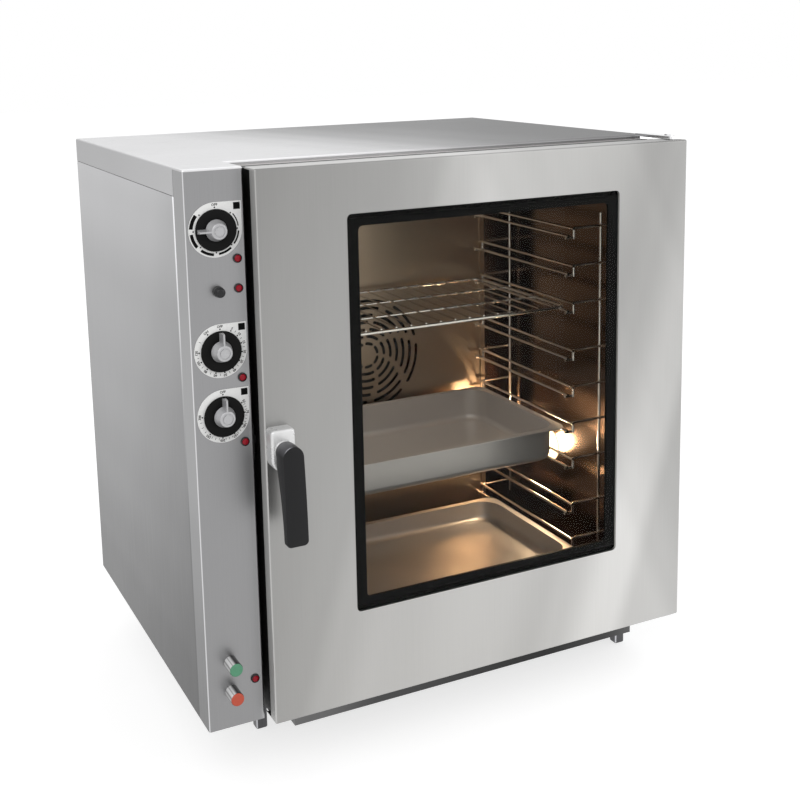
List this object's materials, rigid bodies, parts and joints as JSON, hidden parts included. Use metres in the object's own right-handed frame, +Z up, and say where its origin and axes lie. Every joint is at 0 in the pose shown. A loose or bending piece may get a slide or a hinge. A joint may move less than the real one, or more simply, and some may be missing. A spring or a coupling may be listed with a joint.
{
  "type": "combi oven",
  "caption": "Counter-top combi oven: brushed stainless case, control column with dials, glazed hinged door, lit cavity with wire runners, pans and a shelf.",
  "frame": {"origin": "centre of the bounding box's bottom face, on the floor under the feet", "axes": "+Z up, +X to the right seen from the front, -Y towards the person using it"},
  "size_m": [0.891, 0.829, 0.99],
  "materials": {
    "steel_case": "brushed stainless, satin",
    "steel_inner": "stainless, bright",
    "steel_pan": "drawn stainless, bright satin",
    "bright_wire": "polished wire",
    "chrome_fitting": "chromed",
    "wool": "mineral wool, matt",
    "seal": "black silicone",
    "motor_case": "cast, grey",
    "impeller": "pressed sheet",
    "element_sheath": "heat-tinted tube",
    "brass_fitting": "turned brass",
    "dark_plastic": "black, satin",
    "lamp_metal": "spun cup",
    "lamp_glass": "domed, lit warm",
    "dial_print": "white plate with black print",
    "black_gloss": "black gloss",
    "knob_silver": "satin silver",
    "red_lens": "translucent deep red",
    "green_cap": "green",
    "red_cap": "red",
    "window_glass": "clear, flat"
  },
  "bodies": {
    "case": {"left_side_panel": "steel_case", "right_side_panel": "steel_case", "rear_panel": "steel_case", "top_lid": "steel_case", "bottom_panel": "steel_inner", "base_channel": "steel_case", "legs": "chrome_fitting", "control_panel": "steel_case", "divider_wall": "steel_inner", "front_frame": "steel_inner", "cavity_shell": "steel_inner", "insulation": "wool", "door_gasket": "seal", "fan_baffle": "steel_inner", "fan_motor": "motor_case", "heating_element": "element_sheath", "steam_pipe": "element_sheath", "solenoid_valve": "brass_fitting", "water_inlet": "brass_fitting", "drain_pipe": "chrome_fitting", "vent_pipe": "chrome_fitting", "cable_gland": "dark_plastic", "terminal_block": "dark_plastic", "lamp_housing": "lamp_metal", "lamp_lens": "lamp_glass", "right_rack": "bright_wire", "left_rack": "bright_wire", "dial_plates": "dial_print", "indicator_bezels": "black_gloss", "indicator_lenses": "red_lens", "button_barrels": "chrome_fitting", "humidity_regulator": "motor_case", "timer_body": "motor_case", "thermostat_body": "motor_case", "door_strike": "steel_inner", "hinge_brackets": "chrome_fitting", "hinge_pins": "chrome_fitting", "case_screws": "chrome_fitting"},
    "fan": {"fan_wheel": "impeller"},
    "door": {"door_skin": "steel_case", "door_inner_frame": "steel_inner", "outer_glass": "window_glass", "inner_glass": "window_glass", "window_border": "seal", "handle_base": "chrome_fitting"},
    "handle": {"handle_lever": "chrome_fitting", "handle_grip": "dark_plastic", "latch_cam": "chrome_fitting"},
    "humidity_knob": {"humidity_knob_skirt": "black_gloss", "humidity_knob_hub": "knob_silver"},
    "timer_knob": {"timer_knob_skirt": "black_gloss", "timer_knob_hub": "knob_silver"},
    "thermostat_knob": {"thermostat_knob_skirt": "black_gloss", "thermostat_knob_hub": "knob_silver"},
    "green_button": {"green_button": "green_cap"},
    "red_button": {"red_button": "red_cap"},
    "reset_button": {"reset_button": "dark_plastic"},
    "shelf": {"wire_shelf": "bright_wire"},
    "deep_pan": {"deep_pan": "steel_pan"},
    "shallow_pan": {"shallow_pan": "steel_pan"}
  },
  "joints": [
    {"name": "door_hinge", "type": "hinge", "parent": "case", "child": "door", "pos_m": [0.4305, -0.3135, 0.544], "axis": [0, 0, 1], "range_deg": [0, 110]},
    {"name": "handle_turn", "type": "hinge", "parent": "door", "child": "handle", "pos_m": [-0.325, -0.3655, 0.559], "axis": [0, -1, 0], "range_deg": [0, 90]},
    {"name": "humidity_turn", "type": "hinge", "parent": "case", "child": "humidity_knob", "pos_m": [-0.3995, -0.3255, 0.893], "axis": [0, 1, 0], "range_deg": [-270, 45]},
    {"name": "timer_turn", "type": "hinge", "parent": "case", "child": "timer_knob", "pos_m": [-0.3995, -0.3255, 0.7105], "axis": [0, 1, 0], "range_deg": [0, 330]},
    {"name": "thermostat_turn", "type": "hinge", "parent": "case", "child": "thermostat_knob", "pos_m": [-0.3995, -0.3255, 0.61], "axis": [0, 1, 0], "range_deg": [0, 300]},
    {"name": "green_press", "type": "slide", "parent": "case", "child": "green_button", "axis": [0, 1, 0], "range_m": [0, 0.003], "stiffness_N_per_m": 400, "springref_m": -0.002},
    {"name": "red_press", "type": "slide", "parent": "case", "child": "red_button", "axis": [0, 1, 0], "range_m": [0, 0.003], "stiffness_N_per_m": 400, "springref_m": -0.002},
    {"name": "reset_press", "type": "slide", "parent": "case", "child": "reset_button", "axis": [0, 1, 0], "range_m": [0, 0.003], "stiffness_N_per_m": 400, "springref_m": -0.002},
    {"name": "fan_spin", "type": "hinge", "parent": "case", "child": "fan", "pos_m": [0.062, 0.2445, 0.532], "axis": [0, 1, 0], "continuous": true},
    {"name": "shelf_slide", "type": "slide", "parent": "case", "child": "shelf", "axis": [0, -1, 0], "range_m": [0, 0.09]},
    {"name": "deep_pan_slide", "type": "slide", "parent": "case", "child": "deep_pan", "axis": [0, -1, 0], "range_m": [0, 0.09]},
    {"name": "shallow_pan_slide", "type": "slide", "parent": "case", "child": "shallow_pan", "axis": [0, -1, 0], "range_m": [0, 0.045]}
  ]
}
